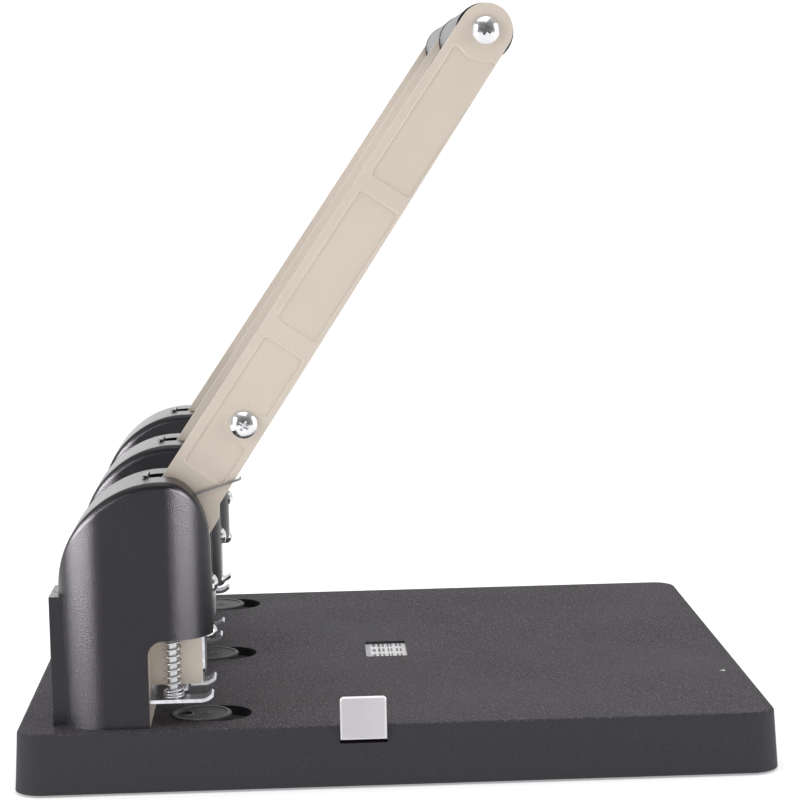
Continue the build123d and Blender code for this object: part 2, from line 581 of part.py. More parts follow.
def make_crosshead(name, head_x):
    """Bar that carries the cutter and slides on the two rods."""
    with BuildPart() as crosshead:
        with BuildSketch(Plane.XY.offset(CROSSHEAD_BOTTOM)):
            with Locations((head_x, (CROSSHEAD_FRONT_Y + CROSSHEAD_REAR_Y) / 2)):
                RectangleRounded(2 * CROSSHEAD_HALF, CROSSHEAD_REAR_Y - CROSSHEAD_FRONT_Y, CROSSHEAD_CORNER)
            with Locations((head_x - ROD_X, ROD_Y), (head_x + ROD_X, ROD_Y)):
                Circle(ROD_RADIUS + RUNNING_FIT, mode=Mode.SUBTRACT)
            with Locations((head_x, CUTTER_Y)):
                Circle(CUTTER_RADIUS, mode=Mode.SUBTRACT)
        extrude(amount=CROSSHEAD_THICKNESS)
    save(crosshead, name)


def make_cutter(name, head_x):
    """Hollow cutter with a flat head that the arm's cam presses on."""
    bore_top = BASE_TOP + 42.0
    bore_radius = 2.2
    head_height = 2.0
    with BuildPart() as cutter:
        with BuildSketch(Plane.XY.offset(CUTTER_TIP)):
            with Locations((head_x, CUTTER_Y)):
                Circle(CUTTER_RADIUS)
        extrude(amount=CUTTER_HEAD_TOP - CUTTER_TIP - 1)
        with BuildSketch(Plane.XY.offset(CUTTER_HEAD_TOP - head_height)):
            with Locations((head_x, CUTTER_Y)):
                Circle(CUTTER_RADIUS + 1.6)
        extrude(amount=head_height)
        with BuildSketch(Plane.XY.offset(CUTTER_TIP)):
            with Locations((head_x, CUTTER_Y)):
                Circle(bore_radius)
        extrude(amount=bore_top - CUTTER_TIP, mode=Mode.SUBTRACT)
        # Sharpened lip, then the window that lets the paper discs out.
        chamfer(cutter.edges().filter_by(GeomType.CIRCLE).group_by(Axis.Z)[0].sort_by(SortBy.RADIUS)[-1],
                1.2, 0.6)
        with BuildSketch(Plane.XZ.offset(-CUTTER_Y)):
            with Locations((head_x, bore_top - 4.5)):
                Rectangle(3.4, 8)
        extrude(amount=-CUTTER_RADIUS - 1, mode=Mode.SUBTRACT)
    save(cutter, name)


def make_guide_block(name, head_x):
    """Block between the cheeks that guides the cutter just above the paper."""
    with BuildPart() as block:
        with BuildSketch(Plane.XY.offset(CHEEK_BOTTOM)):
            with Locations((head_x, (CHEEK_FRONT_Y + STOP_Y) / 2)):
                Rectangle(2 * CHEEK_INNER, STOP_Y - CHEEK_FRONT_Y)
            with Locations((head_x, CUTTER_Y)):
                Circle(CUTTER_RADIUS + RUNNING_FIT, mode=Mode.SUBTRACT)
        extrude(amount=GUIDE_BLOCK_TOP - CHEEK_BOTTOM)
    save(block, name)


DISC_RADIUS = 12.4
DISC_TEETH = 66
DISC_GROOVE = 0.4
WELL_RADIUS = 3.4
WELL_DEPTH = 0.8


def make_disc(name, head_x):
    """Turnable plastic disc that backs the cutter, with a milled rim."""
    thickness = DISC_TOP - (BASE_TOP - SEAT_DEPTH) - 0.2
    with BuildPart() as disc:
        with BuildSketch(Plane.XY.offset(DISC_TOP)):
            with Locations((head_x, DISC_Y)):
                Circle(DISC_RADIUS)
                with PolarLocations(DISC_RADIUS, DISC_TEETH):
                    Circle(DISC_GROOVE, mode=Mode.SUBTRACT)
        extrude(amount=-thickness)
        # Shallow well under the cutter.
        with BuildSketch(Plane.XY.offset(DISC_TOP)):
            with Locations((head_x, CUTTER_Y)):
                Circle(WELL_RADIUS)
        extrude(amount=-WELL_DEPTH, mode=Mode.SUBTRACT)
    save(disc, name)


# ---------------------------------------------------------------- lever

ARM_THICKNESS = 3.0
ARM_PANEL_DEPTH = 0.6
PANEL_SLOPE = 40
PANEL_V = -3.2
PANEL_WIDTH = 18.2
PANEL_CORNER = 1.6
HUB_RADIUS = 8.0
ARM_LENGTH = 245.2
ARM_END_V = -1.3
ARM_END_RADIUS = 10.7
ARM_END_SHIFT = 0.2
TIE_U = 60.7
TIE_V = -6.3
CAM_START = 0.35
CAM_END = 1.36
HANDLE_SCREW_RADIUS = 2.0
TIE_RADIUS = 2.5
TIE_LAND_RADIUS = 7.5
GRIP_CORE_RADIUS = 4.0
LEVER_LOW = radians(ARM_ANGLE)
PANELS = [(35.3, 95.6), (104.2, 165.3), (173.1, ARM_LENGTH)]


def arm_plane(x):
    """Plane of an arm at rest: first axis from pivot to grip, second towards the rear."""
    return Plane(origin=(x, PIVOT_Y, PIVOT_Z), x_dir=(0, -cos(LEVER_LOW), sin(LEVER_LOW)), z_dir=(-1, 0, 0))


def cam_point(unwound):
    """Point of the involute cam in the arm's plane, for a length of unwound string."""
    turn = unwound - CAM_REST_ANGLE - LEVER_LOW
    return (CAM_BASE_RADIUS * (cos(turn) + unwound * sin(turn)),
            CAM_BASE_RADIUS * (sin(turn) - unwound * cos(turn)))


def hub_point(angle):
    """Point of the hub at an angle from the horizontal, in the arm's plane."""
    return (HUB_RADIUS * cos(radians(angle) - LEVER_LOW), HUB_RADIUS * sin(radians(angle) - LEVER_LOW))


def make_arm(name, head_x):
    """Lever arm with its cam, three pressed panels on each face and holes for the rods."""
    steps = 8
    cam = [cam_point(CAM_END + (CAM_START - CAM_END) * i / steps) for i in range(steps + 1)]
    hub_end = hub_point(-36)
    end_u = ARM_LENGTH + ARM_END_SHIFT
    end_top = (end_u, ARM_END_V + ARM_END_RADIUS)
    end_low = (end_u, ARM_END_V - ARM_END_RADIUS)
    with BuildPart() as arm:
        with BuildSketch(arm_plane(head_x)):
            with BuildLine():
                Polyline((0, HUB_RADIUS), (20, 9.8), end_top)
                ThreePointArc(end_top, (end_u + ARM_END_RADIUS, ARM_END_V), end_low)
                Polyline(end_low, (28.1, -15.6), (23.3, -18.6), (15.9, -18.8), cam[0])
                Spline(*cam)
                Line(cam[-1], hub_end)
                ThreePointArc(hub_end, (-HUB_RADIUS, 0), (0, HUB_RADIUS))
            make_face()
            Circle(PIN_RADIUS + RUNNING_FIT, mode=Mode.SUBTRACT)
            with Locations((TIE_U, TIE_V)):
                Circle(TIE_RADIUS if head_x == 0 else HANDLE_SCREW_RADIUS, mode=Mode.SUBTRACT)
            with Locations((ARM_LENGTH, ARM_END_V)):
                Circle(GRIP_CORE_RADIUS if head_x == 0 else HANDLE_SCREW_RADIUS, mode=Mode.SUBTRACT)
        extrude(amount=ARM_THICKNESS / 2, both=True)
        for side in (-1, 1):
            face = arm_plane(head_x + side * (ARM_THICKNESS / 2 - ARM_PANEL_DEPTH))
            with BuildSketch(face) as panels:
                for start, end in PANELS:
                    with Locations(((start + end) / 2, PANEL_V)):
                        Rectangle(end - start, PANEL_WIDTH)
                with Locations((TIE_U, TIE_V)):
                    Circle(TIE_LAND_RADIUS, mode=Mode.SUBTRACT)
                with Locations((TIE_U, TIE_V - 5)):
                    Rectangle(2 * TIE_LAND_RADIUS, 10, mode=Mode.SUBTRACT)
                with Locations((ARM_LENGTH, ARM_END_V)):
                    Circle(ARM_END_RADIUS + 1.9, mode=Mode.SUBTRACT)
                fillet(panels.vertices(), PANEL_CORNER)
            extrude(amount=-side * (ARM_PANEL_DEPTH + 0.2), taper=-PANEL_SLOPE, mode=Mode.SUBTRACT)
    save(arm, name)


TORSION_RADIUS = 4.5
TORSION_WIRE = 0.45
TORSION_PITCH = 1.06
TORSION_START_X = -7.4
TORSION_TURNS = 4.88


def make_torsion_spring(name, head_x):
    """Spring coiled on the pivot pin; its long leg hooks round the arm's front edge."""
    coil_length = TORSION_TURNS * TORSION_PITCH
    leg_x = head_x + TORSION_START_X + coil_length
    with BuildPart() as spring:
        with BuildLine() as coil:
            Helix(pitch=TORSION_PITCH, height=coil_length, radius=TORSION_RADIUS,
                  center=(head_x + TORSION_START_X, PIVOT_Y, PIVOT_Z), direction=(1, 0, 0))
        with BuildSketch(Plane(origin=coil.line @ 0, z_dir=coil.line % 0)):
            Circle(TORSION_WIRE)
        sweep(path=coil.line, is_frenet=True)
        with BuildLine() as leg:
            FilletPolyline(coil.line @ 1, (leg_x, PIVOT_Y - 11.0, PIVOT_Z + 16.4),
                           (leg_x, PIVOT_Y - 37.4, PIVOT_Z + 24.6),
                           (leg_x + 4.6, PIVOT_Y - 37.4, PIVOT_Z + 24.6), radius=1.2)
        with BuildSketch(Plane(origin=leg.line @ 0, z_dir=leg.line % 0)):
            Circle(TORSION_WIRE)
        sweep(path=leg.line)
    save(spring, name)


for side_name, centre_x in HEADS.items():
    make_cover(f"cover_{side_name}", centre_x)
    make_frame(f"frame_{side_name}", centre_x)
    make_front_strap(f"front_strap_{side_name}", centre_x)
    make_stripper_plate(f"stripper_plate_{side_name}", centre_x)
    make_guide_rods(f"guide_rods_{side_name}", centre_x)
    make_return_springs(f"return_springs_{side_name}", centre_x)
    make_crosshead(f"crosshead_{side_name}", centre_x)
    make_cutter(f"cutter_{side_name}", centre_x)
    make_guide_block(f"guide_block_{side_name}", centre_x)
    make_disc(f"cutting_disc_{side_name}", centre_x)
    make_arm(f"arm_{side_name}", centre_x)
    make_torsion_spring(f"torsion_spring_{side_name}", centre_x)

# ---------------------------------------------------------------- pins and screws of the heads

PIN_TAIL = 2.4
PIN_HEAD_HEIGHT = 2.0
CLIP_THICKNESS = 1.0

with BuildPart() as pivot_pins:
    for centre_x in HEADS.values():
        with BuildSketch(Plane.YZ.offset(centre_x - CHEEK_OUTER)):
            with Locations((PIVOT_Y, PIVOT_Z)):
                Circle(PIN_RADIUS)
        extrude(amount=2 * CHEEK_OUTER + PIN_TAIL)
        with BuildSketch(Plane.YZ.offset(centre_x - CHEEK_OUTER)):
            with Locations((PIVOT_Y, PIVOT_Z)):
                Circle(PIN_RADIUS + 1.7)
        extrude(amount=-PIN_HEAD_HEIGHT)
save(pivot_pins, "pivot_pins")

with BuildPart() as pivot_clips:
    for centre_x in HEADS.values():
        with BuildSketch(Plane.YZ.offset(centre_x + CHEEK_OUTER)):
            with Locations((PIVOT_Y, PIVOT_Z)):
                Circle(PIN_RADIUS + 2.2)
                Circle(PIN_RADIUS, mode=Mode.SUBTRACT)
            with Locations((PIVOT_Y + 4, PIVOT_Z)):
                Rectangle(5, 3.2, mode=Mode.SUBTRACT)
        extrude(amount=CLIP_THICKNESS)
save(pivot_clips, "pivot_clips")

with BuildPart() as arm_spacers:
    for centre_x in HEADS.values():
        with BuildSketch(Plane.YZ.offset(centre_x + ARM_THICKNESS / 2 + 0.2)):
            with Locations((PIVOT_Y, PIVOT_Z)):
                Circle(PIN_RADIUS + 2)
                Circle(PIN_RADIUS, mode=Mode.SUBTRACT)
        extrude(amount=CHEEK_INNER - ARM_THICKNESS / 2 - 0.3)
save(arm_spacers, "arm_spacers")

with BuildPart() as cover_screws:
    for centre_x in HEADS.values():
        forward = Plane(origin=(centre_x, COVER_FRONT_Y, COVER_SCREW_Z), x_dir=(1, 0, 0), z_dir=(0, -1, 0))
        add_screw(forward, 3.4, 2.3, SCREW_RADIUS, CHEEK_FRONT_Y - COVER_FRONT_Y)
        forward = Plane(origin=(centre_x, STRAP_FRONT_Y, STRAP_SCREW_Z), x_dir=(1, 0, 0), z_dir=(0, -1, 0))
        add_screw(forward, STRAP_SCREW_HEAD, 5.0, SCREW_RADIUS, STRAP_THICKNESS)
save(cover_screws, "cover_screws")

with BuildPart() as frame_screws:
    for centre_x in HEADS.values():
        for side in (-1, 1):
            upward = Plane((centre_x + side * FRAME_SCREW_X, FRAME_SCREW_Y, BASE_TOP + SHEET))
            add_screw(upward, SCREW_HEAD, SCREW_HEAD_HEIGHT, SCREW_RADIUS, SHEET + BOSS_DEPTH)
save(frame_screws, "frame_screws")

with BuildPart() as rear_screws:
    for centre_x in HEADS.values():
        down = Plane(origin=(centre_x, REAR_SCREW_Y, TOP_UNDERSIDE), x_dir=(1, 0, 0), z_dir=(0, 0, -1))
        add_screw(down, SCREW_HEAD, SCREW_HEAD_HEIGHT, SCREW_RADIUS, TOP_THICKNESS + 10)
save(rear_screws, "rear_screws")

# ---------------------------------------------------------------- rods and grips of the lever

OUTER_ARM_INNER = HEAD_PITCH - ARM_THICKNESS / 2
SPACER_RADIUS = 4.6
GRIP_RADIUS = 11.4
GRIP_COLLAR = 11.6
GRIP_U = ARM_LENGTH - 0.7
COLLAR_LENGTH = 3.0
TAPPED_DEPTH = 10.0


def lever_plane(x, u, v):
    """Plane across the lever at a station along X, centred on a point of the arm's plane."""
    point = arm_plane(x).from_local_coords((u, v, 0))
    return Plane(origin=point, x_dir=(0, -cos(LEVER_LOW), sin(LEVER_LOW)), z_dir=(1, 0, 0))


with BuildPart() as tie_rod:
    with BuildSketch(lever_plane(-OUTER_ARM_INNER, TIE_U, TIE_V)):
        Circle(TIE_RADIUS)
    extrude(amount=2 * OUTER_ARM_INNER)
    for end in (-1, 1):
        with BuildSketch(lever_plane(end * OUTER_ARM_INNER, TIE_U, TIE_V)):
            Circle(HANDLE_SCREW_RADIUS)
        extrude(amount=-end * TAPPED_DEPTH, mode=Mode.SUBTRACT)
save(tie_rod, "tie_rod")

with BuildPart() as tie_spacers:
    for start in (-OUTER_ARM_INNER, ARM_THICKNESS / 2):
        with BuildSketch(lever_plane(start, TIE_U, TIE_V)):
            Circle(SPACER_RADIUS)
            Circle(TIE_RADIUS, mode=Mode.SUBTRACT)
        extrude(amount=OUTER_ARM_INNER - ARM_THICKNESS / 2)
save(tie_spacers, "tie_spacers")

with BuildPart() as grip_core:
    with BuildSketch(lever_plane(-OUTER_ARM_INNER, ARM_LENGTH, ARM_END_V)):
        Circle(GRIP_CORE_RADIUS)
    extrude(amount=2 * OUTER_ARM_INNER)
    for end in (-1, 1):
        with BuildSketch(lever_plane(end * OUTER_ARM_INNER, ARM_LENGTH, ARM_END_V)):
            Circle(HANDLE_SCREW_RADIUS)
        extrude(amount=-end * TAPPED_DEPTH, mode=Mode.SUBTRACT)
save(grip_core, "grip_core")

grip_length = OUTER_ARM_INNER - ARM_THICKNESS / 2
for grip_name, start in (("grip_left", -OUTER_ARM_INNER), ("grip_right", ARM_THICKNESS / 2)):
    with BuildPart() as grip:
        with BuildSketch(lever_plane(start, GRIP_U, ARM_END_V)):
            Circle(GRIP_RADIUS)
        extrude(amount=grip_length)
        for collar in (start, start + grip_length - COLLAR_LENGTH):
            with BuildSketch(lever_plane(collar, GRIP_U, ARM_END_V)):
                Circle(GRIP_COLLAR)
            extrude(amount=COLLAR_LENGTH)
        with BuildSketch(lever_plane(start, ARM_LENGTH, ARM_END_V)):
            Circle(GRIP_CORE_RADIUS)
        extrude(amount=grip_length, mode=Mode.SUBTRACT)
    save(grip, grip_name)

with BuildPart() as handle_screws:
    for end in (-1, 1):
        for u, v in ((TIE_U, TIE_V), (ARM_LENGTH, ARM_END_V)):
            station = lever_plane(end * (HEAD_PITCH + ARM_THICKNESS / 2), u, v)
            outward = Plane(origin=station.origin, x_dir=station.x_dir, z_dir=(end, 0, 0))
            add_screw(outward, 5.4, 3.6, HANDLE_SCREW_RADIUS, ARM_THICKNESS + TAPPED_DEPTH - 1)
save(handle_screws, "handle_screws")
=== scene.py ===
"""A three hole punch: materials, small printed and moulded details, studio and camera."""
import json
import math

import bmesh
import bpy
from mathutils import Matrix, Vector


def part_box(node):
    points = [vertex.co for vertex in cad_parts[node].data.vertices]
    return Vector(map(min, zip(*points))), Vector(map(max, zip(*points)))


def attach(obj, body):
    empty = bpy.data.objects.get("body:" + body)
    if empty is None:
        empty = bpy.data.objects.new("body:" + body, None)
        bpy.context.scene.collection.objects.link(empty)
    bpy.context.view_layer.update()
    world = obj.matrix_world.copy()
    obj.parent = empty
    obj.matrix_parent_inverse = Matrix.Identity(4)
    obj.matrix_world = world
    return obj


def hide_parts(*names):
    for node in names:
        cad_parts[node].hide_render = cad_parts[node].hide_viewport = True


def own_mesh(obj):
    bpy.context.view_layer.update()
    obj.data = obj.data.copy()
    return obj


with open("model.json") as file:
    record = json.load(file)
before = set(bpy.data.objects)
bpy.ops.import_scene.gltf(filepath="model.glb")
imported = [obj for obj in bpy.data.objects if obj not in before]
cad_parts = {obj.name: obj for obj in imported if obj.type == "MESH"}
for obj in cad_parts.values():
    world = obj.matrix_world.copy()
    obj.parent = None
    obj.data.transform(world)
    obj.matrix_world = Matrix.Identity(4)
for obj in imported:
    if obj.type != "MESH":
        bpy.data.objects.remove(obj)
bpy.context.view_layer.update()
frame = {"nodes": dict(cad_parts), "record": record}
nodes = frame["nodes"]
SIDES = ("left", "middle", "right")


class Finish:
    """A material under construction, with one call for each kind of node it uses."""

    def __init__(self, name, **sockets):
        self.material = bpy.data.materials.new(name)
        self.material.use_nodes = True
        self.tree = self.material.node_tree
        self.shader = self.tree.nodes["Principled BSDF"]
        self.coordinates = self.add("ShaderNodeTexCoord").outputs["Object"]
        self.set(**sockets)

    def add(self, kind, **settings):
        made = self.tree.nodes.new(kind)
        for key, value in settings.items():
            setattr(made, key, value)
        return made

    def feed(self, socket, value):
        """A socket takes either another node's output or a constant."""
        if isinstance(value, bpy.types.NodeSocket):
            self.tree.links.new(value, socket)
        else:
            socket.default_value = value

    def set(self, **sockets):
        for key, value in sockets.items():
            self.feed(self.shader.inputs[key.replace("_", " ")], value)

    def place(self, stretch=(1, 1, 1)):
        mapping = self.add("ShaderNodeMapping")
        self.feed(mapping.inputs["Vector"], self.coordinates)
        mapping.inputs["Scale"].default_value = stretch
        return mapping.outputs["Vector"]

    def noise(self, scale, detail=2.0, roughness=0.5, stretch=(1, 1, 1)):
        texture = self.add("ShaderNodeTexNoise")
        self.feed(texture.inputs["Vector"], self.place(stretch))
        self.feed(texture.inputs["Scale"], scale)
        self.feed(texture.inputs["Detail"], detail)
        self.feed(texture.inputs["Roughness"], roughness)
        return texture.outputs["Fac"]

    def cells(self, scale, output="Distance"):
        texture = self.add("ShaderNodeTexVoronoi")
        self.feed(texture.inputs["Vector"], self.coordinates)
        self.feed(texture.inputs["Scale"], scale)
        return texture.outputs[output]

    def ramp(self, value, low, high, start=0.0, end=1.0):
        """Maps value from [low, high] to [start, end], and holds it there."""
        made = self.add("ShaderNodeMapRange")
        self.feed(made.inputs["Value"], value)
        self.feed(made.inputs["From Min"], low)
        self.feed(made.inputs["From Max"], high)
        self.feed(made.inputs["To Min"], start)
        self.feed(made.inputs["To Max"], end)
        return made.outputs["Result"]

    def mix(self, factor, first, second):
        made = self.add("ShaderNodeMix", data_type="RGBA")
        self.feed(made.inputs[0], factor)
        self.feed(made.inputs[6], first)
        self.feed(made.inputs[7], second)
        return made.outputs[2]

    def math(self, operation, first, second=0.0):
        made = self.add("ShaderNodeMath", operation=operation)
        self.feed(made.inputs[0], first)
        self.feed(made.inputs[1], second)
        return made.outputs[0]

    def edges(self, radius, full=0.8):
        """0 on a flat face, rising to 1 within the radius of an edge, sooner with a higher full."""
        bevel = self.add("ShaderNodeBevel", samples=4)
        self.feed(bevel.inputs["Radius"], radius)
        geometry = self.add("ShaderNodeNewGeometry")
        product = self.add("ShaderNodeVectorMath", operation="DOT_PRODUCT")
        self.feed(product.inputs[0], bevel.outputs["Normal"])
        self.feed(product.inputs[1], geometry.outputs["Normal"])
        return self.ramp(product.outputs["Value"], 0.995, full)

    def relief(self, height, distance, strength):
        bump = self.add("ShaderNodeBump")
        self.feed(bump.inputs["Height"], height)
        self.feed(bump.inputs["Distance"], distance)
        self.feed(bump.inputs["Strength"], strength)
        self.set(Normal=bump.outputs["Normal"])


def rgb(red, green, blue):
    return (red, green, blue, 1.0)


def grained_plastic(name, dark, light, grain, depth, rough, edge_wear_and_highlight, gloss=0.45):
    """Moulded plastic with an etched grain, pale edges that are partly scuffs and partly a painted
    highlight, and a faint mottle.
    """
    made = Finish(name, Specular_IOR_Level=gloss, Specular_Tint=rgb(0.97, 0.92, 1.0))
    fine = made.noise(grain, 3.0, 0.65)
    pores = made.cells(grain * 0.8)
    mottle = made.noise(12, 1.0, 0.4)
    body = made.mix(made.ramp(fine, 0.42, 0.66), dark, light)
    # paler edges, gated by patchy noise: partly real scuffing, partly a painted highlight where the rounded
    # edges catch the light
    scuff_and_sheen_patches = made.ramp(made.noise(160, 3.0), 0.35, 0.65, 0.15, 0.8)
    rubbed = made.math("MULTIPLY", made.edges(0.0007), scuff_and_sheen_patches)
    made.set(Base_Color=made.mix(rubbed, body, edge_wear_and_highlight))
    made.set(Roughness=made.ramp(mottle, 0.2, 0.8, rough - 0.02, rough + 0.03))
    made.relief(made.math("ADD", fine, pores), depth, 0.8)
    return made.material


def base_plastic(name):
    """Moulded plastic with pale specks etched on its top; the side walls are smoother and cooler."""
    made = Finish(name, Specular_IOR_Level=0.12, Specular_Tint=rgb(0.97, 0.92, 1.0))
    normal = made.add("ShaderNodeSeparateXYZ")
    made.feed(normal.inputs[0], made.add("ShaderNodeTexCoord").outputs["Normal"])
    upward = made.ramp(normal.outputs["Z"], 0.55, 0.95)
    fine = made.noise(1250, 3.0, 0.7)
    coarse = made.noise(700, 2.0, 0.6)
    patch = made.noise(14, 3.0, 0.6)
    cluster = made.ramp(coarse, 0.38, 0.62, 0.35, 1.0)
    speck = made.math("MULTIPLY", made.ramp(fine, 0.50, 0.70), cluster)
    speck = made.math("MULTIPLY", speck, made.ramp(patch, 0.35, 0.65, 0.55, 1.0))
    top = made.mix(speck, rgb(0.046, 0.042, 0.047), rgb(0.285, 0.256, 0.280))
    wall = made.mix(made.ramp(fine, 0.4, 0.75), rgb(0.044, 0.045, 0.051), rgb(0.056, 0.057, 0.064))
    body = made.mix(upward, wall, top)
    # paler edges, gated by patchy noise: partly real rubbing, partly a painted highlight along the top
    # edge's rounding
    scuff_and_sheen_patches = made.ramp(made.noise(210, 4.0), 0.35, 0.65, 0.1, 0.4)
    rubbed = made.math("MULTIPLY", made.edges(0.0008), scuff_and_sheen_patches)
    made.set(Base_Color=made.mix(rubbed, body, rgb(0.17, 0.16, 0.165)))
    made.set(Roughness=made.ramp(patch, 0.3, 0.7, 0.52, 0.66))
    height = made.math("MULTIPLY", made.math("ADD", fine, coarse), made.ramp(upward, 0, 1, 0.25, 1.0))
    made.relief(height, 0.00020, 0.8)
    return made.material


def painted_steel(name, colour, shade, edge_wear_and_highlight):
    """Semi-gloss enamel with a slight orange peel, a little brighter on its edges, partly from wear and
    partly as a painted highlight.
    """
    made = Finish(name, Specular_IOR_Level=0.35, Coat_Weight=0.05, Coat_Roughness=0.3)
    peel = made.noise(900, 2.0, 0.5)
    mottle = made.noise(30, 4.0, 0.55)
    dust = made.ramp(made.noise(2600, 2.0), 0.66, 0.74)
    body = made.mix(made.ramp(mottle, 0.3, 0.7), colour, shade)
    body = made.mix(made.math("MULTIPLY", dust, 0.25), body, shade)
    # brighter edges, gated by patchy noise: partly real wear, partly a painted highlight on edges that face
    # the light
    scuff_and_sheen_patches = made.ramp(made.noise(120, 3.0), 0.3, 0.7, 0.35, 0.9)
    rubbed = made.math("MULTIPLY", made.edges(0.00045), scuff_and_sheen_patches)
    made.set(Base_Color=made.mix(rubbed, body, edge_wear_and_highlight))
    made.set(Roughness=made.ramp(mottle, 0.3, 0.7, 0.34, 0.46))
    made.relief(peel, 0.00004, 0.5)
    return made.material


def plain_metal(name, colour, shade, rough, scale, stretch, depth, polished=0.0):
    """Metal with drawn or ground lines along its stretch, polished within a distance of its edges."""
    made = Finish(name, Metallic=1.0)
    lines = made.noise(scale, 3.0, 0.6, stretch)
    bloom = made.noise(70, 3.0, 0.5)
    body = made.mix(made.ramp(bloom, 0.3, 0.7), colour, shade)
    if polished:
        body = made.mix(made.edges(polished, 0.97), body, rgb(0.97, 0.96, 0.97))
    made.set(Base_Color=body)
    wear = made.math("ADD", made.ramp(lines, 0.3, 0.7, 0, 0.08), made.ramp(bloom, 0.3, 0.7, 0, 0.06))
    made.set(Roughness=made.math("ADD", wear, rough))
    made.relief(lines, depth, 0.6)
    return made.material


def zinc(name):
    """Zinc plate with a faint spangle and a bluish cast."""
    made = Finish(name, Metallic=1.0)
    spangle = made.cells(350, "Color")
    fine = made.noise(1500, 2.0)
    bloom = made.noise(60, 3.0)
    tint = made.mix(made.ramp(spangle, 0.2, 0.8), rgb(0.58, 0.59, 0.62), rgb(0.71, 0.72, 0.75))
    made.set(Base_Color=made.mix(made.ramp(bloom, 0.45, 0.75, 0, 0.5), tint, rgb(0.52, 0.54, 0.58)))
    made.set(Roughness=made.ramp(made.math("ADD", fine, bloom), 0.7, 1.3, 0.22, 0.38))
    made.relief(fine, 0.00003, 0.4)
    return made.material


def label_paper(name):
    """A satin printed label, a little soiled and rubbed."""
    made = Finish(name, Specular_IOR_Level=0.5)
    rub = made.noise(90, 4.0, 0.6)
    weave = made.noise(1800, 2.0)
    clean, rubbed = rgb(0.86, 0.83, 0.86), rgb(0.74, 0.71, 0.74)
    made.set(Base_Color=made.mix(made.ramp(rub, 0.35, 0.7), clean, rubbed))
    made.set(Roughness=made.ramp(rub, 0.3, 0.7, 0.3, 0.5))
    made.relief(weave, 0.00002, 0.4)
    return made.material


EVEN = (1, 1, 1)

FINISHES = {
    "base_plastic": base_plastic("base_plastic_grain"),
    "cover_plastic": grained_plastic(
        "cover_plastic_satin", rgb(0.002, 0.002, 0.0030), rgb(0.006, 0.006, 0.0080),
        2600, 0.00005, 0.28, rgb(0.12, 0.115, 0.12), 0.36),
    "disc_plastic": grained_plastic(
        "disc_plastic_grain", rgb(0.042, 0.041, 0.044), rgb(0.115, 0.112, 0.118),
        2200, 0.00005, 0.45, rgb(0.11, 0.11, 0.11)),
    "foot_rubber": grained_plastic(
        "foot_rubber_matt", rgb(0.010, 0.010, 0.010), rgb(0.020, 0.020, 0.020),
        1200, 0.00008, 0.82, rgb(0.035, 0.034, 0.033)),
    "bottom_steel": grained_plastic(
        "bottom_steel_paint", rgb(0.020, 0.020, 0.022), rgb(0.032, 0.032, 0.034),
        1400, 0.00004, 0.50, rgb(0.10, 0.10, 0.10)),
    "beige_paint": painted_steel(
        "beige_enamel", rgb(0.715, 0.628, 0.548), rgb(0.680, 0.594, 0.515), rgb(0.85, 0.80, 0.74)),
    "zinc_steel": zinc("zinc_plate"),
    "guide_steel": plain_metal(
        "guide_strip_steel", rgb(0.57, 0.54, 0.57), rgb(0.54, 0.51, 0.54),
        0.26, 700, (1, 0.06, 1), 0.000006, polished=0.0010),
    "rod_steel": plain_metal(
        "ground_rod_steel", rgb(0.62, 0.63, 0.64), rgb(0.50, 0.51, 0.53), 0.26, 1400, EVEN, 0.00002),
    "spring_steel": plain_metal(
        "spring_wire", rgb(0.82, 0.82, 0.84), rgb(0.66, 0.66, 0.69), 0.20, 2500, EVEN, 0.00002),
    "screw_chrome": plain_metal(
        "screw_plating", rgb(0.80, 0.80, 0.81), rgb(0.66, 0.66, 0.68), 0.10, 1200, EVEN, 0.00002),
    "cutter_chrome": plain_metal(
        "cutter_steel", rgb(0.72, 0.73, 0.75), rgb(0.58, 0.59, 0.62), 0.16, 1800, (1, 1, 0.1), 0.00002),
    "grip_plastic": grained_plastic(
        "grip_gloss", rgb(0.012, 0.012, 0.013), rgb(0.018, 0.018, 0.020),
        1200, 0.00001, 0.34, rgb(0.05, 0.05, 0.05), 0.2),
    "mark_white": painted_steel(
        "mark_inlay", rgb(0.78, 0.78, 0.78), rgb(0.70, 0.70, 0.70), rgb(0.85, 0.85, 0.85)),
    "label_white": label_paper("label_paper"),
}

DARK_WIRE = plain_metal("torsion_wire", rgb(0.36, 0.35, 0.36), rgb(0.22, 0.22, 0.23),
                        0.28, 2200, EVEN, 0.00002)

for part in frame["record"]["subparts"]:
    node = nodes[part["node"]]
    dark_wire = part["node"].startswith("torsion_spring")
    for entry in node.material_slots:
        entry.material = DARK_WIRE if dark_wire else FINISHES[part["material_slot"]]


def piece(name, mesh, body, finish):
    """A detail of the visual model that rides on a body."""
    data = bpy.data.meshes.new(name)
    bmesh.ops.recalc_face_normals(mesh, faces=mesh.faces)
    mesh.to_mesh(data)
    mesh.free()
    made = bpy.data.objects.new(name, data)
    bpy.context.scene.collection.objects.link(made)
    data.materials.append(finish)
    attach(made, body)
    return made


def add_bar(mesh, low, high, chamfer):
    """A bar with chamfered edges between two corners."""
    size = Vector(high) - Vector(low)
    middle = (Vector(high) + Vector(low)) / 2
    place = Matrix.Translation(middle) @ Matrix.Diagonal((*size, 1))
    made = bmesh.ops.create_cube(mesh, size=1, matrix=place)
    edges = list({edge for corner in made["verts"] for edge in corner.link_edges})
    bmesh.ops.bevel(mesh, geom=edges, offset=chamfer, segments=1, affect="EDGES")


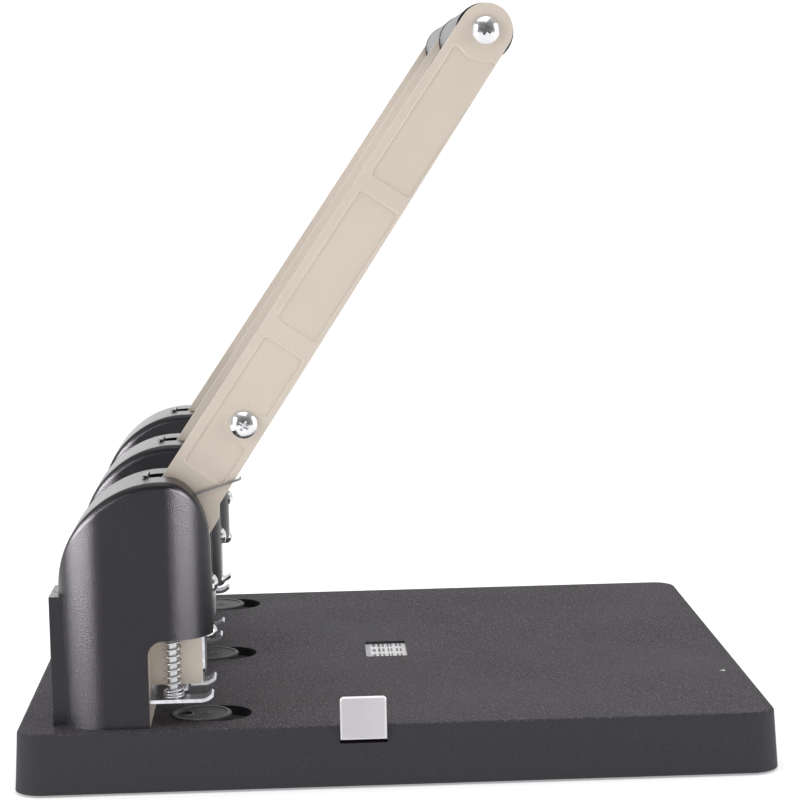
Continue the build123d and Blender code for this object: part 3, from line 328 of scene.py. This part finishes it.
# the printed scale and bars on the paper guide's label
INK = Finish("label_ink", Specular_IOR_Level=0.4)
INK.set(Base_Color=INK.mix(INK.ramp(INK.noise(900, 3.0), 0.35, 0.7), rgb(0.10, 0.10, 0.11),
                           rgb(0.30, 0.30, 0.31)))
INK.set(Roughness=INK.ramp(INK.noise(300), 0.3, 0.7, 0.4, 0.6))
label_low, label_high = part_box("scale_label")
INK_THICKNESS = 0.00006
marks = bmesh.new()
STEP = 0.002
LINE = 0.00045
MARGIN = 0.0008
LONG_LINE = 0.0030
SHORT_LINE = 0.0018
# where each bar starts, its depth and its width
BARS = ((0.0146, 0.0014, 0.0050), (0.0124, 0.0012, 0.0072), (0.0106, 0.0010, 0.0060),
        (0.0084, 0.0008, 0.0070), (0.0070, 0.0008, 0.0060), (0.0044, 0.0010, 0.0050),
        (0.0028, 0.0008, 0.0062))


def add_mark(x, y, width, depth):
    """One printed bar on the label, width along X."""
    top = label_high.z + INK_THICKNESS
    add_bar(marks, (x - width / 2, y, label_high.z), (x + width / 2, y + depth, top), 0.00001)


for index in range(1, int((label_high.x - label_low.x) / STEP)):
    x = label_low.x + index * STEP
    fifth = index % 5 == 0
    length = LONG_LINE if fifth else SHORT_LINE
    add_mark(x, label_high.y - MARGIN - length, LINE, length)
    if fifth:
        for start, depth, width in BARS:
            add_mark(x, label_low.y + start, width, depth)
piece("label_marks", marks, "side_guide", INK.material)

# return springs, wound close at both ends
SPRING_RADIUS = 0.0034
END_RADIUS = 0.0040
WIRE_RADIUS = 0.00034
CLOSED_PITCH = 0.00108
CLOSED_TURNS = 2.4
ACTIVE_TURNS = 12.5
FLARE_TURNS = 0.7
STEPS_PER_TURN = 24
WIRE_SIDES = 8
SPRING_REACH = 0.0040


def add_coil(mesh, foot, height):
    """A compression spring's wire, swept round an upright axis from foot."""
    turns = ACTIVE_TURNS + 2 * CLOSED_TURNS
    closed = CLOSED_PITCH * CLOSED_TURNS
    active = height - 2 * closed
    count = round(turns * STEPS_PER_TURN)
    previous = None
    for index in range(count + 1):
        turn = turns * index / count
        if turn < CLOSED_TURNS:
            rise = closed * turn / CLOSED_TURNS
        elif turn < CLOSED_TURNS + ACTIVE_TURNS:
            rise = closed + active * (turn - CLOSED_TURNS) / ACTIVE_TURNS
        else:
            rise = closed + active + closed * (turn - CLOSED_TURNS - ACTIVE_TURNS) / CLOSED_TURNS
        angle = math.tau * turn
        outward = Vector((math.cos(angle), math.sin(angle), 0))
        from_end = min(turn, turns - turn)
        flare = min(max((CLOSED_TURNS + FLARE_TURNS - from_end) / FLARE_TURNS, 0), 1)
        radius = SPRING_RADIUS + flare * (END_RADIUS - SPRING_RADIUS)
        centre = foot + radius * outward + Vector((0, 0, rise))
        ring = []
        for side in range(WIRE_SIDES):
            around = math.tau * side / WIRE_SIDES
            offset = outward * math.cos(around) + Vector((0, 0, math.sin(around)))
            ring.append(mesh.verts.new(centre + WIRE_RADIUS * offset))
        if previous:
            for side in range(WIRE_SIDES):
                other = (side + 1) % WIRE_SIDES
                mesh.faces.new((previous[side], previous[other], ring[other], ring[side])).smooth = True
        else:
            mesh.faces.new(ring)
        previous = ring
    mesh.faces.new(previous)


for side_name in SIDES:
    low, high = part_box(f"return_springs_{side_name}")
    coils = bmesh.new()
    middle_y = (low.y + high.y) / 2
    for x in (low.x + SPRING_REACH, high.x - SPRING_REACH):
        add_coil(coils, Vector((x, middle_y, low.z + WIRE_RADIUS)), high.z - low.z - 2 * WIRE_RADIUS)
    spring = piece(f"spring_coils_{side_name}", coils, "base", FINISHES["spring_steel"])
    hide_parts(f"return_springs_{side_name}")
    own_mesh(spring)

# each cutting disc's milled teeth and position number, and the raised rim round its well
WELL_SHIFT = 0.007
WELL_RADIUS = 0.0034
WELL_SIDES = 64
TEETH = 66
TOOTH = (0.0011, 0.0007, 0.0008)
DISC_LIGHT = grained_plastic("disc_edge_plastic", rgb(0.10, 0.10, 0.104), rgb(0.24, 0.24, 0.25), 1800,
                             0.00003, 0.35, rgb(0.38, 0.38, 0.38))
for side_name in SIDES:
    low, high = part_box(f"cutting_disc_{side_name}")
    centre = (low + high) / 2
    rim = bmesh.new()
    sections = ((WELL_RADIUS, -0.0001), (WELL_RADIUS, 0.00022), (WELL_RADIUS + 0.0002, 0.0003),
                (WELL_RADIUS + 0.00045, 0.00022), (WELL_RADIUS + 0.00055, -0.0001))
    rings = []
    well = Vector((centre.x, centre.y + WELL_SHIFT, high.z))
    for index in range(WELL_SIDES):
        angle = math.tau * index / WELL_SIDES
        rings.append([rim.verts.new(well + Vector((r * math.cos(angle), r * math.sin(angle), z)))
                      for r, z in sections])
    for index in range(WELL_SIDES):
        first, second = rings[index], rings[(index + 1) % WELL_SIDES]
        for corner in range(len(sections)):
            after = (corner + 1) % len(sections)
            rim.faces.new((first[corner], first[after], second[after], second[corner])).smooth = True
    # the rim's paler plastic is a painted highlight along the well's edge
    piece(f"well_rim_{side_name}", rim, f"disc_{side_name}", DISC_LIGHT)
    teeth = bmesh.new()
    middle = Matrix.Translation((centre.x, centre.y, high.z))
    outward = Matrix.Translation(((high.x - low.x) / 2 - TOOTH[0], 0, 0)) @ Matrix.Diagonal((*TOOTH, 1))
    for index in range(TEETH):
        turn = Matrix.Rotation(math.tau * index / TEETH, 4, "Z")
        bmesh.ops.create_cube(teeth, size=1, matrix=middle @ turn @ outward)
    bmesh.ops.bevel(teeth, geom=teeth.edges[:], offset=0.00004, segments=1, affect="EDGES")
    piece(f"disc_teeth_{side_name}", teeth, f"disc_{side_name}", DISC_LIGHT)
    digit_data = bpy.data.curves.new(f"disc_number_{side_name}", "FONT")
    digit_data.body = "2"
    digit_data.size = 0.0052
    digit_data.extrude = 0.00012
    digit_data.offset = 0.00006
    digit_data.align_x, digit_data.align_y = "CENTER", "CENTER"
    digit = bpy.data.objects.new(f"disc_number_{side_name}", digit_data)
    bpy.context.scene.collection.objects.link(digit)
    digit.location = (centre.x, centre.y - 0.0015, high.z + 0.00012)
    digit_data.materials.append(DISC_LIGHT)
    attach(digit, f"disc_{side_name}")

# pale scuffs on top of each hood's key block and on the lip behind its slot
SCUFF = grained_plastic("scuffed_plastic", rgb(0.16, 0.155, 0.16), rgb(0.62, 0.58, 0.60), 420, 0.00008, 0.34,
                        rgb(0.75, 0.72, 0.73), 0.5)
BLOCK_TOP = 0.0780
BLOCK_HALF = 0.0122
BLOCK_DEPTH = 0.0040
LIP_HALF = 0.0046
LIP_TOP = 0.1250
LIP_FRONT = 0.0982
for side_name in SIDES:
    low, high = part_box(f"cover_{side_name}")
    middle_x = (low.x + high.x) / 2
    cap = bmesh.new()
    add_bar(cap, (middle_x - BLOCK_HALF, high.y - BLOCK_DEPTH, BLOCK_TOP - 0.0002),
            (middle_x + BLOCK_HALF, high.y - 0.0003, BLOCK_TOP + 0.00012), 0.00008)
    add_bar(cap, (middle_x - LIP_HALF, LIP_FRONT, LIP_TOP - 0.0002),
            (middle_x + LIP_HALF, LIP_FRONT + 0.0019, LIP_TOP + 0.0001), 0.00008)
    piece(f"cover_scuff_{side_name}", cap, "base", SCUFF)

# studio: a pale floor, a bright surround and soft boxes
floor_mesh = bpy.data.meshes.new("floor")
floor_shape = bmesh.new()
bmesh.ops.create_circle(floor_shape, cap_ends=True, segments=96, radius=1.8)
floor_shape.to_mesh(floor_mesh)
floor_shape.free()
floor = bpy.data.objects.new("floor", floor_mesh)
bpy.context.scene.collection.objects.link(floor)
pale = Finish("floor_paper", Specular_IOR_Level=0.2, Emission_Color=rgb(1, 1, 1), Emission_Strength=0.36)
pale.set(Base_Color=pale.mix(pale.noise(3, 2.0), rgb(0.90, 0.90, 0.90), rgb(0.92, 0.92, 0.92)))
pale.set(Roughness=pale.ramp(pale.noise(5), 0.3, 0.7, 0.8, 0.9))
floor_mesh.materials.append(pale.material)

world = bpy.data.worlds.new("studio")
bpy.context.scene.world = world
world.use_nodes = True
sky = world.node_tree
direction = sky.nodes.new("ShaderNodeTexCoord")
parts = sky.nodes.new("ShaderNodeSeparateXYZ")
sky.links.new(direction.outputs["Generated"], parts.inputs[0])
across = sky.nodes.new("ShaderNodeMapRange")
sky.links.new(parts.outputs["X"], across.inputs["Value"])
across.inputs["From Min"].default_value = -0.9
across.inputs["From Max"].default_value = 0.5
across.inputs["To Min"].default_value = 0.16
across.inputs["To Max"].default_value = 0.92
seen = sky.nodes.new("ShaderNodeLightPath")
strength = sky.nodes.new("ShaderNodeMix")
sky.links.new(seen.outputs["Is Camera Ray"], strength.inputs[0])
sky.links.new(across.outputs["Result"], strength.inputs[2])
strength.inputs[3].default_value = 1.05
surround = sky.nodes["Background"]
surround.inputs["Color"].default_value = rgb(1.0, 1.0, 1.0)
sky.links.new(strength.outputs[0], surround.inputs["Strength"])


mouldings = bpy.data.collections.new("glossy_mouldings")
for node_name, node in nodes.items():
    if node_name.startswith(("cover_", "grip_")) and node_name not in ("cover_screws", "grip_core"):
        mouldings.objects.link(node)


def soft_box(name, position, target, size, radiance, gloss=False):
    """A rectangular lamp that faces the target; a gloss lamp shows only as a reflection in mouldings."""
    light = bpy.data.lights.new(name, "AREA")
    light.shape = "RECTANGLE"
    light.size, light.size_y = size
    light.energy = radiance * math.pi * size[0] * size[1]
    made = bpy.data.objects.new(name, light)
    bpy.context.scene.collection.objects.link(made)
    made.location = position
    made.rotation_mode = "QUATERNION"
    made.rotation_quaternion = (Vector(target) - Vector(position)).to_track_quat("-Z", "Y")
    if gloss:
        made.visible_diffuse = False
        made.light_linking.receiver_collection = mouldings


CENTRE = (0, 0, 0.1)
soft_box("soft_box_rear_left", (-0.75, 1.3, 0.55), CENTRE, (0.32, 1.1), 7)
soft_box("soft_box_front", (-0.55, -1.4, 0.55), CENTRE, (0.32, 1.1), 7)
soft_box("soft_box_top", (-0.2, 0.1, 1.5), CENTRE, (1.2, 1.2), 1.3)
HEAD = (-0.12, 0.08, 0.1)
soft_box("gloss_front", (-0.66, -0.57, 0.15), HEAD, (0.85, 0.28), 28, True)
soft_box("gloss_rear", (-0.55, 0.82, 0.15), HEAD, (1.05, 0.28), 40, True)
soft_box("gloss_far", (1.35, 0.1, 0.36), HEAD, (1.6, 0.7), 0.7, True)

# camera: the operator's left side, a little above the machine
CAMERA_PLACE = Vector((-1.0281, 0.0345, 0.2629))
CAMERA_TURN = -0.0420
CAMERA_DIP = 0.1194
CAMERA_ROLL = -0.0203
FOCAL_PIXELS = 2297.5
SENSOR = 36.0
IMAGE_WIDTH = 800

camera_data = bpy.data.cameras.new("camera")
camera = bpy.data.objects.new("camera", camera_data)
bpy.context.scene.collection.objects.link(camera)
camera_data.sensor_width = SENSOR
camera_data.lens = FOCAL_PIXELS * SENSOR / IMAGE_WIDTH
camera_data.clip_start, camera_data.clip_end = 0.05, 60
ahead = Vector((math.cos(CAMERA_DIP) * math.cos(CAMERA_TURN),
                math.cos(CAMERA_DIP) * math.sin(CAMERA_TURN), -math.sin(CAMERA_DIP)))
right = ahead.cross(Vector((0, 0, 1))).normalized()
up = right.cross(ahead)
turned_right = right * math.cos(CAMERA_ROLL) + up * math.sin(CAMERA_ROLL)
turned_up = up * math.cos(CAMERA_ROLL) - right * math.sin(CAMERA_ROLL)
facing = Matrix((turned_right, turned_up, -ahead)).transposed()
camera.matrix_world = Matrix.Translation(CAMERA_PLACE) @ facing.to_4x4()
bpy.context.scene.camera = camera
bpy.context.scene.view_settings.view_transform = "Standard"
